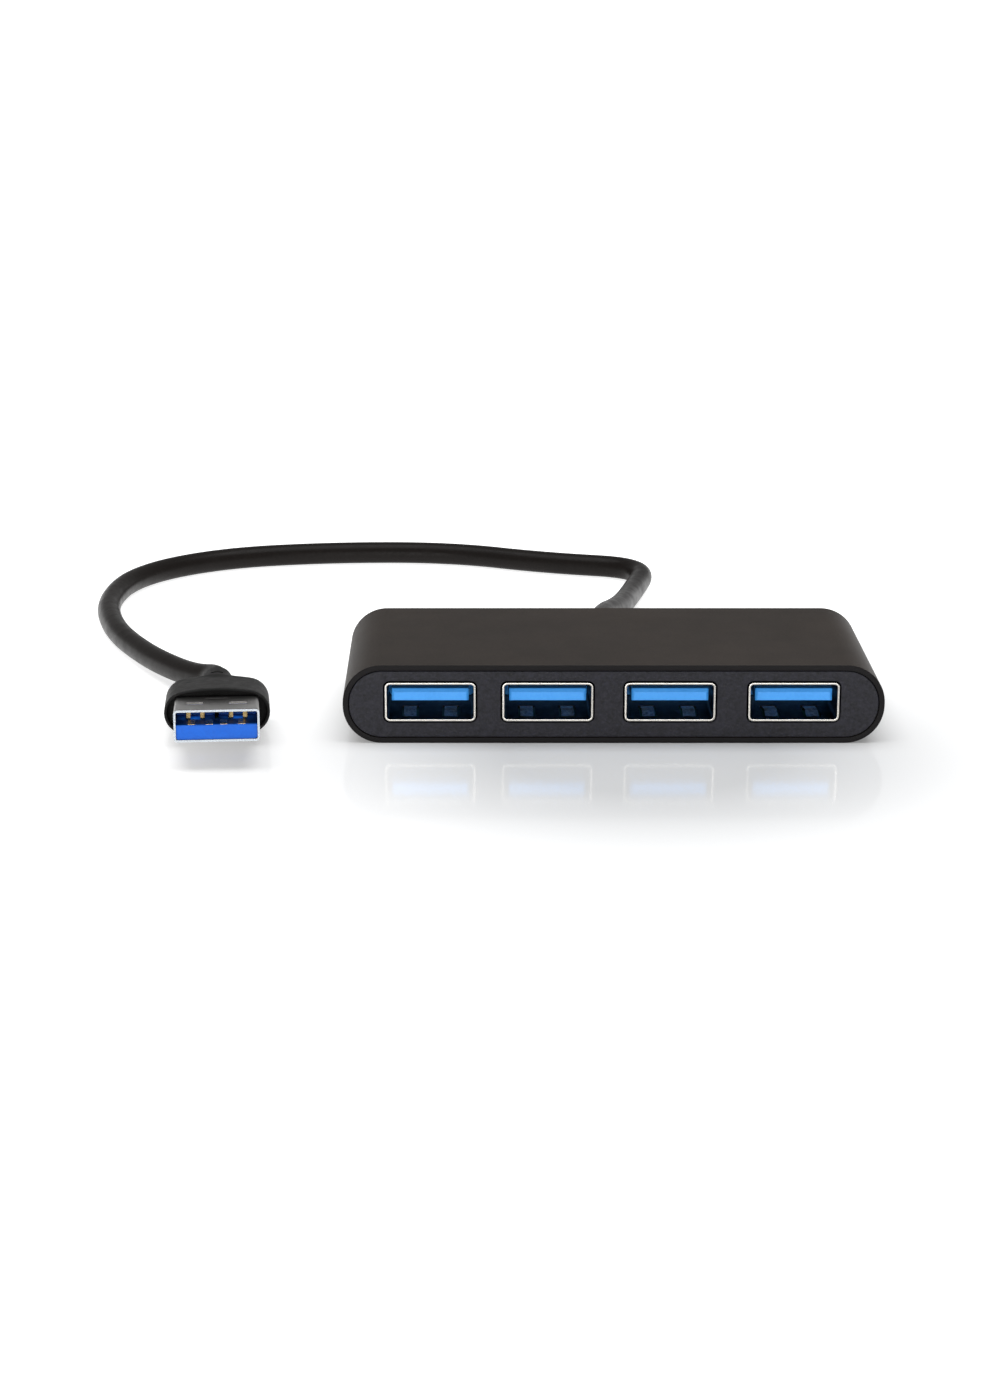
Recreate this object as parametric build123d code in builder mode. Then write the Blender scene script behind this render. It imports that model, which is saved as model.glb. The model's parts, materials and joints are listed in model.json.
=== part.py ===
"""A four-port hub: a flat housing with four receptacles in front, and a short cord with a plug.

Millimetres. +X runs to the right along the row of ports, +Y runs back from the ports to the
cord, and +Z is up. The origin is on the surface that the hub stands on, under the middle of the
housing.
"""

import os
from math import cos, pi, radians, sin, tan

from build123d import *

# ---------------------------------------------------------------- driving dimensions

HOUSING_WIDTH = 78.0
HOUSING_DEPTH = 34.4
HOUSING_HEIGHT = 11.6
HOUSING_CORNER = 5.6
SLEEVE_WALL = 0.8
SLEEVE_EDGE = 0.18

PLATE_THICKNESS = 1.6
PLATE_RECESS = 0.1
PLATE_GAP = 0.08
PLATE_CHAMFER = 0.15
SPIGOT_WALL = 0.9
SPIGOT_DEPTH = 2.0

PORT_X = (-26.4, -9.5, 8.1, 25.9)
PORT_Z = 6.15
PORT_WIDTH = 13.1
PORT_HEIGHT = 5.75
PORT_LENGTH = 17.5
PORT_CORNER = 0.75
PORT_SHEET = 0.3
PORT_GAP = 0.2
PORT_PROUD = 0.1

TONGUE_WIDTH = 11.1
TONGUE_THICKNESS = 1.84
TONGUE_RECESS = 0.4
TONGUE_TOP_GAP = 0.67
PORT_BLOCK_LENGTH = 4.2

SPRING_X = 2.95
SPRING_WIDTH = 1.85
SPRING_SLOT = 0.3
SPRING_ROOT = 1.7
SPRING_LENGTH = 5.6
SPRING_RISE = 0.45

POWER_CONTACT_X = (-3.5, -1.0, 1.0, 3.5)
FAST_CONTACT_X = (-4.0, -2.0, 0.0, 2.0, 4.0)
CONTACT_SHEET = 0.2
TAIL_LENGTH = 0.6
TAIL_HOLE = 0.45

BOARD_THICKNESS = 1.2
BOARD_WIDTH = 72.6
BOARD_FRONT_GAP = 0.3
BOARD_REAR_GAP = 0.3
RAIL_REACH = 1.3
RAIL_THICKNESS = 0.45

CORD_DIAMETER = 3.8
CORD_EXIT_Z = 5.8
GLAND_LENGTH = 9.0
GLAND_ROOT_RADIUS = 3.3
GLAND_TIP_RADIUS = 2.5
GLAND_GROOVE_RADIUS = 2.6
GLAND_FLANGE_RADIUS = 4.0
GLAND_FLANGE_THICKNESS = 1.4
LEAD_STUB_LENGTH = 1.4
LEAD_DIAMETER = 0.8
PAIR_DIAMETER = 1.1

PLUG_WIDTH = 12.0
PLUG_HEIGHT = 4.5
PLUG_SHEET = 0.3
PLUG_REACH = 12.0
PLUG_SHELL_LENGTH = 17.0
PLUG_TIP = (-56.0, -30.7, 6.54)
PLUG_YAW = 4.5
PLUG_PITCH = 7.0
OVERMOULD_WIDTH = 15.2
OVERMOULD_HEIGHT = 7.0
OVERMOULD_SIDE_RADIUS = 3.1
OVERMOULD_LENGTH = 14.3
OVERMOULD_LIP = 0.4
OVERMOULD_POCKET = 1.5
OVERMOULD_REAR_ROUND = 1.3
NECK_END = 31.3
NECK_RISE = 1.75
NECK_TILT = 3.0
NECK_RADIUS = 2.25
NECK_SLOT_AT = 27.1
NECK_SLOT_FLOOR = 3.2
NECK_SLOT_WIDTH = 1.7
NECK_SLOT_LENGTH = 0.5

# The cord's route, from the end of the strain relief at the hub to the end of the plug's neck.
# The first and last points follow from those two pieces.
CORD_ROUTE = [
    (0.0, 35.2, 5.8),
    (4.2, 50.5, 3.4),
    (7.3, 68.0, 1.95),
    (10.8, 85.0, 1.95),
    (-7.2, 89.4, 1.95),
    (-24.0, 97.6, 1.95),
    (-45.0, 97.8, 1.95),
    (-65.5, 93.0, 1.95),
    (-79.2, 79.6, 1.95),
    (-82.2, 60.0, 1.95),
    (-78.7, 41.2, 1.95),
    (-72.2, 25.6, 2.1),
    (-66.6, 15.2, 2.5),
    (-62.0, 8.0, 3.1),
    (-58.736, 4.064, 4.212),
]

# ---------------------------------------------------------------- what follows from them

FRONT_Y = -HOUSING_DEPTH / 2
REAR_Y = HOUSING_DEPTH / 2
MID_Z = HOUSING_HEIGHT / 2
INNER_WIDTH = HOUSING_WIDTH - 2 * SLEEVE_WALL
INNER_HEIGHT = HOUSING_HEIGHT - 2 * SLEEVE_WALL
INNER_CORNER = HOUSING_CORNER - SLEEVE_WALL

PLATE_FRONT_Y = FRONT_Y + PLATE_RECESS
PLATE_REAR_Y = REAR_Y - PLATE_RECESS
PORT_FRONT_Y = PLATE_FRONT_Y - PORT_PROUD
PORT_REAR_Y = PORT_FRONT_Y + PORT_LENGTH
PORT_FLOOR_Z = PORT_Z - PORT_HEIGHT / 2
PORT_TOP_Z = PORT_Z + PORT_HEIGHT / 2
TONGUE_TOP_Z = PORT_TOP_Z - PORT_SHEET - TONGUE_TOP_GAP
TONGUE_LOW_Z = TONGUE_TOP_Z - TONGUE_THICKNESS
TONGUE_FRONT_Y = PORT_FRONT_Y + TONGUE_RECESS
BLOCK_Y = PORT_REAR_Y - PORT_SHEET - PORT_BLOCK_LENGTH

BOARD_TOP_Z = PORT_FLOOR_Z
BOARD_LOW_Z = BOARD_TOP_Z - BOARD_THICKNESS
BOARD_FRONT_Y = PLATE_FRONT_Y + PLATE_THICKNESS + BOARD_FRONT_GAP
BOARD_REAR_Y = PLATE_REAR_Y - PLATE_THICKNESS - GLAND_FLANGE_THICKNESS - BOARD_REAR_GAP
TAIL_LOW_Z = BOARD_LOW_Z - TAIL_LENGTH
POWER_TAIL_Y = BLOCK_Y + 1.2
FAST_TAIL_Y = BLOCK_Y + 3.0

CORD_RADIUS = CORD_DIAMETER / 2
GLAND_INNER_Y = PLATE_REAR_Y - PLATE_THICKNESS - GLAND_FLANGE_THICKNESS
GLAND_TIP_Y = REAR_Y + GLAND_LENGTH
LEAD_START_Y = GLAND_INNER_Y - LEAD_STUB_LENGTH

plug_across = Vector(cos(radians(PLUG_YAW)), sin(radians(PLUG_YAW)), 0)
plug_level = Vector(-sin(radians(PLUG_YAW)), cos(radians(PLUG_YAW)), 0)
plug_back = plug_level * cos(radians(PLUG_PITCH)) - Vector(0, 0, 1) * sin(radians(PLUG_PITCH))
plug_mouth = Plane(origin=PLUG_TIP, x_dir=plug_across, z_dir=-plug_back)

os.makedirs("parts", exist_ok=True)


def save(piece, name):
    """Label one finished piece and write it to its own file."""
    piece.label = name
    export_step(piece, f"parts/{name}.step")


def upright(y):
    """The plane that faces the ports' side at y, with its own X along X and its own Y up."""
    return Plane.XZ.offset(-y)


def behind(mouth, depth):
    """A plane parallel to a connector's mouth, that far inside it."""
    return mouth.offset(-depth)


def beside(mouth, x):
    """The plane across a connector at x, with its own X running in from the mouth and its Y up."""
    return Plane(
        origin=mouth.from_local_coords((x, 0, 0)), x_dir=-mouth.z_dir, z_dir=mouth.x_dir
    )


# ---------------------------------------------------------------- housing

with BuildPart() as housing_sleeve:
    with BuildSketch(upright(FRONT_Y)) as outline:
        with Locations((0, MID_Z)):
            RectangleRounded(HOUSING_WIDTH, HOUSING_HEIGHT, HOUSING_CORNER)
    extrude(amount=-HOUSING_DEPTH)
    chamfer(
        housing_sleeve.faces().sort_by(Axis.Y)[0].edges()
        + housing_sleeve.faces().sort_by(Axis.Y)[-1].edges(),
        SLEEVE_EDGE,
    )
    with BuildSketch(upright(FRONT_Y)) as hollow:
        with Locations((0, MID_Z)):
            RectangleRounded(INNER_WIDTH, INNER_HEIGHT, INNER_CORNER)
        # The board slides between two rails on each side, so the hollow leaves them standing.
        rail_x = BOARD_WIDTH / 2 - RAIL_REACH
        for side in (-1, 1):
            for low in (BOARD_LOW_Z - RAIL_THICKNESS - 0.05, BOARD_TOP_Z + 0.05):
                with Locations((side * (rail_x + INNER_WIDTH / 2) / 2, low + RAIL_THICKNESS / 2)):
                    Rectangle(INNER_WIDTH / 2 - rail_x, RAIL_THICKNESS, mode=Mode.SUBTRACT)
    extrude(amount=-HOUSING_DEPTH, mode=Mode.SUBTRACT)
    # The rails stop short of both plates.
    rail_stop = PLATE_RECESS + PLATE_THICKNESS + SPIGOT_DEPTH
    for y in (FRONT_Y, REAR_Y - rail_stop):
        with BuildSketch(upright(y)):
            with Locations((0, MID_Z)):
                RectangleRounded(INNER_WIDTH, INNER_HEIGHT, INNER_CORNER)
        extrude(amount=-rail_stop, mode=Mode.SUBTRACT)
save(housing_sleeve.part, "housing_sleeve")


def end_plate(outer_y, inward):
    """A plate that closes one end of the sleeve, with a thin spigot on its inner side.

    inward is +1 for the front plate and -1 for the rear one.
    """
    width = INNER_WIDTH - 2 * PLATE_GAP
    height = INNER_HEIGHT - 2 * PLATE_GAP
    corner = INNER_CORNER - PLATE_GAP
    with BuildPart() as plate:
        with BuildSketch(upright(outer_y)):
            with Locations((0, MID_Z)):
                RectangleRounded(width, height, corner)
        extrude(amount=-inward * PLATE_THICKNESS)
        outer_face = plate.faces().sort_by(Axis.Y)[0 if inward > 0 else -1]
        chamfer(outer_face.edges(), PLATE_CHAMFER)
        with BuildSketch(upright(outer_y + inward * PLATE_THICKNESS)):
            with Locations((0, MID_Z)):
                RectangleRounded(width - 0.1, height - 0.1, corner - 0.05)
                RectangleRounded(
                    width - 2 * SPIGOT_WALL,
                    height - 2 * SPIGOT_WALL,
                    corner - SPIGOT_WALL,
                    mode=Mode.SUBTRACT,
                )
        extrude(amount=-inward * (SPIGOT_DEPTH - 0.1))
        # The spigot is left out where the board's ends lie between its two sides.
        with Locations((0, outer_y + inward * (PLATE_THICKNESS + SPIGOT_DEPTH / 2), PORT_FLOOR_Z)):
            Box(HOUSING_WIDTH, SPIGOT_DEPTH, 2.2 * BOARD_THICKNESS, mode=Mode.SUBTRACT)
    return plate.part


with BuildPart() as front_plate:
    add(end_plate(PLATE_FRONT_Y, 1))
    with BuildSketch(upright(PLATE_FRONT_Y - 1)):
        for x in PORT_X:
            with Locations((x, PORT_Z)):
                RectangleRounded(
                    PORT_WIDTH + 2 * PORT_GAP, PORT_HEIGHT + 2 * PORT_GAP, PORT_CORNER + PORT_GAP
                )
    extrude(amount=-(PLATE_THICKNESS + SPIGOT_DEPTH + 2), mode=Mode.SUBTRACT)
save(front_plate.part, "front_plate")

with BuildPart() as rear_plate:
    add(end_plate(PLATE_REAR_Y, -1))
    with BuildSketch(upright(PLATE_REAR_Y + 1)):
        with Locations((0, CORD_EXIT_Z)):
            Circle(GLAND_GROOVE_RADIUS)
    extrude(amount=PLATE_THICKNESS + 2, mode=Mode.SUBTRACT)
    with BuildSketch(upright(PLATE_REAR_Y - PLATE_THICKNESS)):
        with Locations((0, CORD_EXIT_Z)):
            Circle(GLAND_FLANGE_RADIUS + 0.15)
    extrude(amount=SPIGOT_DEPTH + 1, mode=Mode.SUBTRACT)
save(rear_plate.part, "rear_plate")

# ---------------------------------------------------------------- receptacles


def port_shell(mouth):
    """The folded metal shell of a receptacle, with its springs and its board legs."""
    with BuildPart() as shell:
        with BuildSketch(mouth):
            RectangleRounded(PORT_WIDTH, PORT_HEIGHT, PORT_CORNER)
            RectangleRounded(
                PORT_WIDTH - 2 * PORT_SHEET,
                PORT_HEIGHT - 2 * PORT_SHEET,
                PORT_CORNER - PORT_SHEET,
                mode=Mode.SUBTRACT,
            )
        extrude(amount=-PORT_LENGTH)
        # The back wall is a flap folded down from the top.
        with BuildSketch(behind(mouth, PORT_LENGTH - PORT_SHEET)):
            with Locations((0, 0.2)):
                Rectangle(PORT_WIDTH - 2 * PORT_CORNER, PORT_HEIGHT - 0.4)
        extrude(amount=-PORT_SHEET)
        # The floor is open under the moulded block, where the contact tails come out.
        with BuildSketch(mouth.offset(-(PORT_LENGTH - PORT_BLOCK_LENGTH / 2 - PORT_SHEET))) as tails:
            with Locations((0, -PORT_HEIGHT / 2)):
                Rectangle(PORT_WIDTH - 2 * PORT_CORNER, 2 * PORT_SHEET)
        extrude(amount=PORT_BLOCK_LENGTH / 2 + PORT_SHEET, both=True, mode=Mode.SUBTRACT)
        for side in (-1, 1):
            with BuildSketch(behind(mouth, SPRING_ROOT)) as slots:
                with Locations(
                    (-SPRING_X, side * PORT_HEIGHT / 2), (SPRING_X, side * PORT_HEIGHT / 2)
                ):
                    Rectangle(SPRING_WIDTH + 2 * SPRING_SLOT, 2 * PORT_SHEET + 0.02)
            extrude(amount=-SPRING_LENGTH, mode=Mode.SUBTRACT)
            sheet_mid = side * (PORT_HEIGHT - PORT_SHEET) / 2
            for x in (-SPRING_X, SPRING_X):
                with BuildSketch(beside(mouth, x)):
                    with BuildLine():
                        Polyline(
                            (SPRING_ROOT - 0.1, sheet_mid),
                            (SPRING_ROOT + 0.1, sheet_mid),
                            (SPRING_ROOT + 1.9, sheet_mid - side * SPRING_RISE),
                            (SPRING_ROOT + 2.7, sheet_mid - side * SPRING_RISE),
                            (SPRING_ROOT + SPRING_LENGTH - 0.3, sheet_mid),
                        )
                    trace(line_width=PORT_SHEET)
                extrude(amount=SPRING_WIDTH / 2, both=True)
        leg_drop = BOARD_THICKNESS + TAIL_LENGTH
        for depth in (PORT_LENGTH - 11.0, PORT_LENGTH - 3.0):
            with BuildSketch(behind(mouth, depth)):
                leg_x = (PORT_WIDTH - PORT_SHEET) / 2
                for x in (-leg_x, leg_x):
                    with Locations((x, -(PORT_HEIGHT + leg_drop) / 2 + PORT_CORNER / 2)):
                        Rectangle(PORT_SHEET, leg_drop + PORT_CORNER)
            extrude(amount=-1.4)
    return shell.part


def contact_strip(mouth, x, points, width):
    """One bent contact strip, drawn as its side view and as wide as given."""
    with BuildPart() as strip:
        with BuildSketch(beside(mouth, x)):
            with BuildLine():
                Polyline(*points)
            trace(line_width=CONTACT_SHEET)
        extrude(amount=width / 2, both=True)
    return strip.part


def port_contacts(mouth):
    """The nine contacts of a receptacle: four sprung ones, and five flat ones at the tip."""
    low = TONGUE_LOW_Z - PORT_Z
    tail = TAIL_LOW_Z - PORT_Z
    power_tail = POWER_TAIL_Y - PORT_FRONT_Y
    fast_tail = FAST_TAIL_Y - PORT_FRONT_Y
    with BuildPart() as contacts:
        for x in POWER_CONTACT_X:
            points = [
                (4.6, low - 0.3),
                (5.4, low - 0.5),
                (7.6, low + 0.1),
                (power_tail, low + 0.1),
                (power_tail, tail),
            ]
            add(contact_strip(mouth, x, points, 0.9))
        for x in FAST_CONTACT_X:
            points = [
                (0.9, low + 0.1),
                (2.4, low + 0.1),
                (2.9, low + 0.95),
                (fast_tail, low + 0.95),
                (fast_tail, tail),
            ]
            add(contact_strip(mouth, x, points, 0.6))
    return contacts.part


def port_tongue(mouth, contacts):
    """The moulded tongue and the block behind it, with a channel for each contact."""
    low = TONGUE_LOW_Z - PORT_Z
    top = TONGUE_TOP_Z - PORT_Z
    block = BLOCK_Y - PORT_FRONT_Y
    with BuildPart() as tongue:
        with BuildSketch(beside(mouth, 0)):
            Polygon(
                (TONGUE_RECESS, low + 0.15),
                (TONGUE_RECESS, top - 0.5),
                (TONGUE_RECESS + 0.3, top),
                (block + 0.5, top),
                (block + 0.5, low),
                (TONGUE_RECESS + 0.15, low),
                align=None,
            )
        extrude(amount=TONGUE_WIDTH / 2, both=True)
        front = tongue.faces().sort_by(Axis.Y)[0]
        chamfer(front.edges().filter_by(Axis.Z), 0.35)
        with BuildSketch(behind(mouth, block)):
            RectangleRounded(
                PORT_WIDTH - 2 * PORT_SHEET - 0.04,
                PORT_HEIGHT - 2 * PORT_SHEET - 0.04,
                PORT_CORNER - PORT_SHEET,
            )
        extrude(amount=-(PORT_BLOCK_LENGTH - 0.05))
        add(contacts, mode=Mode.SUBTRACT)
    return tongue.part


for number, port_x in enumerate(PORT_X, start=1):
    port_mouth = Plane(origin=(port_x, PORT_FRONT_Y, PORT_Z), x_dir=(1, 0, 0), z_dir=(0, -1, 0))
    contact_set = port_contacts(port_mouth)
    save(port_shell(port_mouth), f"port_{number}_shell")
    save(port_tongue(port_mouth, contact_set), f"port_{number}_tongue")
    save(contact_set, f"port_{number}_contacts")

# ---------------------------------------------------------------- circuit board

LEAD_PITCH = 2.3
PAD_Y = BOARD_REAR_Y - 4.2
CONTROLLER_AT = (-16.0, 6.6)
CRYSTAL_AT = (-25.4, 8.6)
REGULATOR_AT = (17.0, 7.6)
INDUCTOR_AT = (24.2, 7.4)
FUSE_AT = (10.4, 10.6)
CAN_AT = [(-32.2, 6.8), (10.4, 5.0), (32.2, 6.8)]
CAN_RADIUS = 2.5
CAN_HEIGHT = 5.3

with BuildPart() as circuit_board:
    with BuildSketch(Plane.XY.offset(BOARD_LOW_Z)):
        with Locations((0, (BOARD_FRONT_Y + BOARD_REAR_Y) / 2)):
            RectangleRounded(BOARD_WIDTH, BOARD_REAR_Y - BOARD_FRONT_Y, 0.8)
        for port_x in PORT_X:
            with Locations(*[(port_x + x, POWER_TAIL_Y) for x in POWER_CONTACT_X]):
                Circle(TAIL_HOLE + 0.15, mode=Mode.SUBTRACT)
            with Locations(*[(port_x + x, FAST_TAIL_Y) for x in FAST_CONTACT_X]):
                Circle(TAIL_HOLE, mode=Mode.SUBTRACT)
            leg_x = (PORT_WIDTH - PORT_SHEET) / 2
            for depth in (PORT_LENGTH - 11.0, PORT_LENGTH - 3.0):
                with Locations(
                    (port_x - leg_x, PORT_FRONT_Y + depth + 0.7),
                    (port_x + leg_x, PORT_FRONT_Y + depth + 0.7),
                ):
                    SlotOverall(2.2, 0.7, rotation=90, mode=Mode.SUBTRACT)
    extrude(amount=BOARD_THICKNESS)
save(circuit_board.part, "circuit_board")


def chips(places, width, depth, height, edge=0.0):
    """Small rectangular parts that stand on the board, each a solid of its own."""
    with BuildPart() as group:
        for x, y in places:
            with BuildPart(mode=Mode.PRIVATE) as chip:
                with BuildSketch(Plane.XY.offset(BOARD_TOP_Z)):
                    with Locations((x, y)):
                        Rectangle(width, depth)
                extrude(amount=height)
                if edge:
                    chamfer(chip.faces().sort_by(Axis.Z)[-1].edges(), edge)
            add(chip.part)
    return group.part


save(chips([CONTROLLER_AT], 9.0, 9.0, 0.9, 0.08), "hub_controller_chip")
save(chips([CRYSTAL_AT], 3.2, 2.5, 0.8, 0.1), "crystal_oscillator")
save(chips([FUSE_AT], 3.2, 2.5, 0.7, 0.1), "resettable_fuse")

# A ring of small parts stands round the controller, and three behind each receptacle.
around_chip = [(CONTROLLER_AT[0] + dx, CONTROLLER_AT[1] - 5.4) for dx in (-4.0, -2.0, 0.0, 2.0)]
around_chip += [(CONTROLLER_AT[0] + 5.9, CONTROLLER_AT[1] + dy) for dy in (-3.6, -2.0, -0.4)]
around_chip += [(CRYSTAL_AT[0] + dx, CRYSTAL_AT[1] - 2.4) for dx in (-0.9, 0.9)]
around_power = [(REGULATOR_AT[0] + dx, REGULATOR_AT[1] - 4.6) for dx in (-2.0, 0.0, 2.0)]
around_power += [(INDUCTOR_AT[0] + dx, INDUCTOR_AT[1] - 3.8) for dx in (-1.2, 1.2)]
save(chips(around_chip + around_power, 0.8, 1.4, 0.7, 0.06), "ceramic_capacitors")

pull_ups = [(CONTROLLER_AT[0] - 5.9, CONTROLLER_AT[1] + dy) for dy in (-3.4, -1.8, -0.2)]
pull_ups += [(port_x - 3.0, 1.7) for port_x in PORT_X[2:]]
pull_ups += [(-4.4, 2.2), (-2.8, 2.2), (2.8, 2.2), (4.4, 2.2)]
save(chips(pull_ups, 0.8, 1.4, 0.4, 0.05), "resistors")

with BuildPart() as power_inductor:
    with BuildSketch(Plane.XY.offset(BOARD_TOP_Z)):
        with Locations(INDUCTOR_AT):
            RectangleRounded(4.2, 4.2, 0.9)
    extrude(amount=1.9)
    chamfer(power_inductor.faces().sort_by(Axis.Z)[-1].edges(), 0.2)
save(power_inductor.part, "power_inductor")

with BuildPart() as voltage_regulator:
    with BuildSketch(Plane.XY.offset(BOARD_TOP_Z + 0.15)):
        with Locations(REGULATOR_AT):
            Rectangle(6.5, 3.5)
    extrude(amount=1.55, taper=5)
save(voltage_regulator.part, "voltage_regulator")

with BuildPart() as regulator_legs:
    legs = [(REGULATOR_AT[0] + dx, -1, 0.75) for dx in (-2.3, 0.0, 2.3)]
    legs.append((REGULATOR_AT[0], 1, 3.0))
    for x, side, width in legs:
        with BuildPart(mode=Mode.PRIVATE) as leg:
            with BuildSketch(Plane.YZ.offset(x)):
                with BuildLine():
                    Polyline(
                        (REGULATOR_AT[1] + side * 1.76, BOARD_TOP_Z + 0.8),
                        (REGULATOR_AT[1] + side * 2.3, BOARD_TOP_Z + 0.8),
                        (REGULATOR_AT[1] + side * 2.6, BOARD_TOP_Z + 0.125),
                        (REGULATOR_AT[1] + side * 3.5, BOARD_TOP_Z + 0.125),
                    )
                trace(line_width=0.25)
            extrude(amount=width / 2, both=True)
            add(voltage_regulator.part, mode=Mode.SUBTRACT)
        add(leg.part)
save(regulator_legs.part, "regulator_legs")

with BuildPart() as capacitor_bases:
    for x, y in CAN_AT:
        with BuildSketch(Plane.XY.offset(BOARD_TOP_Z)):
            with Locations((x, y)):
                Rectangle(5.2, 5.2)
        extrude(amount=0.6)
    corners = capacitor_bases.edges().filter_by(Axis.Z).group_by(Axis.Y)
    chamfer(corners[-1], 0.9)
save(capacitor_bases.part, "bulk_capacitor_bases")

with BuildPart() as capacitor_cans:
    for x, y in CAN_AT:
        with BuildPart(mode=Mode.PRIVATE) as can:
            with BuildSketch(Plane.XY.offset(BOARD_TOP_Z + 0.6)):
                with Locations((x, y)):
                    Circle(CAN_RADIUS)
            extrude(amount=CAN_HEIGHT - 0.6)
            fillet(can.faces().sort_by(Axis.Z)[-1].edges(), 0.35)
            with BuildSketch(Plane.XY.offset(BOARD_TOP_Z + 1.2)):
                with Locations((x, y)):
                    Circle(CAN_RADIUS + 0.1)
                    Circle(CAN_RADIUS - 0.15, mode=Mode.SUBTRACT)
            extrude(amount=0.35, mode=Mode.SUBTRACT)
        add(can.part)
save(capacitor_cans.part, "bulk_capacitor_cans")

# ---------------------------------------------------------------- strain relief and leads

with BuildPart() as cord_gland:
    with BuildSketch(Plane.YZ):
        with BuildLine():
            Polyline(
                (GLAND_INNER_Y, CORD_EXIT_Z),
                (GLAND_INNER_Y, CORD_EXIT_Z + GLAND_FLANGE_RADIUS),
                (PLATE_REAR_Y - PLATE_THICKNESS, CORD_EXIT_Z + GLAND_FLANGE_RADIUS),
                (PLATE_REAR_Y - PLATE_THICKNESS, CORD_EXIT_Z + GLAND_GROOVE_RADIUS),
                (PLATE_REAR_Y, CORD_EXIT_Z + GLAND_GROOVE_RADIUS),
                (PLATE_REAR_Y, CORD_EXIT_Z + GLAND_ROOT_RADIUS),
                (REAR_Y + 1.2, CORD_EXIT_Z + GLAND_ROOT_RADIUS),
                (GLAND_TIP_Y, CORD_EXIT_Z + GLAND_TIP_RADIUS),
                (GLAND_TIP_Y, CORD_EXIT_Z),
                close=True,
            )
        make_face()
    revolve(axis=Axis((0, 0, CORD_EXIT_Z), (0, 1, 0)))
    fillet(cord_gland.faces().sort_by(Axis.Y)[-1].edges(), 0.5)
    # Four rings cut in the boot let it bend with the cord.
    for step in range(4):
        with BuildSketch(upright(REAR_Y + 2.6 + 1.5 * step)):
            with Locations((0, CORD_EXIT_Z)):
                Circle(GLAND_ROOT_RADIUS + 1)
                Circle(CORD_RADIUS + 0.35, mode=Mode.SUBTRACT)
        extrude(amount=-0.6, mode=Mode.SUBTRACT)
save(cord_gland.part, "cord_gland")

with BuildPart() as cord_inner_end:
    with BuildSketch(upright(GLAND_INNER_Y)):
        with Locations((0, CORD_EXIT_Z)):
            Circle(CORD_RADIUS)
    extrude(amount=LEAD_STUB_LENGTH)
save(cord_inner_end.part, "cord_inner_end")

# name, place in the cord's end (x, z), lead diameter, in the order of the pads from left to right
LEADS = [
    ("white_data_lead", (-0.75, 1.15), LEAD_DIAMETER),
    ("receive_pair", (-1.2, -0.5), PAIR_DIAMETER),
    ("black_ground_lead", (-0.1, -1.2), LEAD_DIAMETER),
    ("red_power_lead", (-0.05, 0.5), LEAD_DIAMETER),
    ("transmit_pair", (1.2, -0.5), PAIR_DIAMETER),
    ("green_data_lead", (0.75, 1.15), LEAD_DIAMETER),
]


def lead(number, start, diameter):
    """One lead, from the cord's stripped end down to its pad on the board."""
    pad_x = (number - (len(LEADS) - 1) / 2) * LEAD_PITCH
    lying_z = BOARD_TOP_Z + diameter / 2 + 0.1
    x, z = start
    with BuildPart() as wire:
        with BuildLine() as path:
            FilletPolyline(
                (x, LEAD_START_Y, CORD_EXIT_Z + z),
                (x, LEAD_START_Y - 0.7, CORD_EXIT_Z + z),
                (pad_x, PAD_Y + 0.9, lying_z),
                (pad_x, PAD_Y - 0.4, lying_z),
                radius=[0.55, 0.55],
            )
        with BuildSketch(Plane(origin=path.line @ 0, z_dir=path.line % 0)):
            Circle(diameter / 2)
        sweep()
    return wire.part


for number, (lead_name, start, diameter) in enumerate(LEADS):
    save(lead(number, start, diameter), lead_name)

with BuildPart() as solder_joints:
    for number, (lead_name, start, diameter) in enumerate(LEADS):
        pad_x = (number - (len(LEADS) - 1) / 2) * LEAD_PITCH
        with BuildPart(mode=Mode.PRIVATE) as joint:
            with BuildSketch(Plane.XY.offset(BOARD_TOP_Z)):
                with Locations((pad_x, PAD_Y - 1.3)):
                    RectangleRounded(1.5, 1.78, 0.4)
            extrude(amount=0.9)
            chamfer(joint.faces().sort_by(Axis.Z)[-1].edges(), 0.3)
        add(joint.part)
save(solder_joints.part, "solder_joints")

# ---------------------------------------------------------------- plug

POWER_PAD_ENDS = {-3.5: 4.9, -1.0: 4.4, 1.0: 4.4, 3.5: 4.9}
PLUG_PAD_FRONT = 0.45
PLUG_INNER_HALF = PLUG_HEIGHT / 2 - PLUG_SHEET
PLUG_BLADE_TOP = -PLUG_INNER_HALF + 2.08
PLUG_BLADE_RECESS = 0.2
PLUG_BACK_WALL = 9.4
SHELL_HOLE_X = 3.04
SHELL_HOLE_WIDTH = 2.5
SHELL_HOLE_LENGTH = 2.1
SHELL_HOLE_FRONT = 5.2

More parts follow.
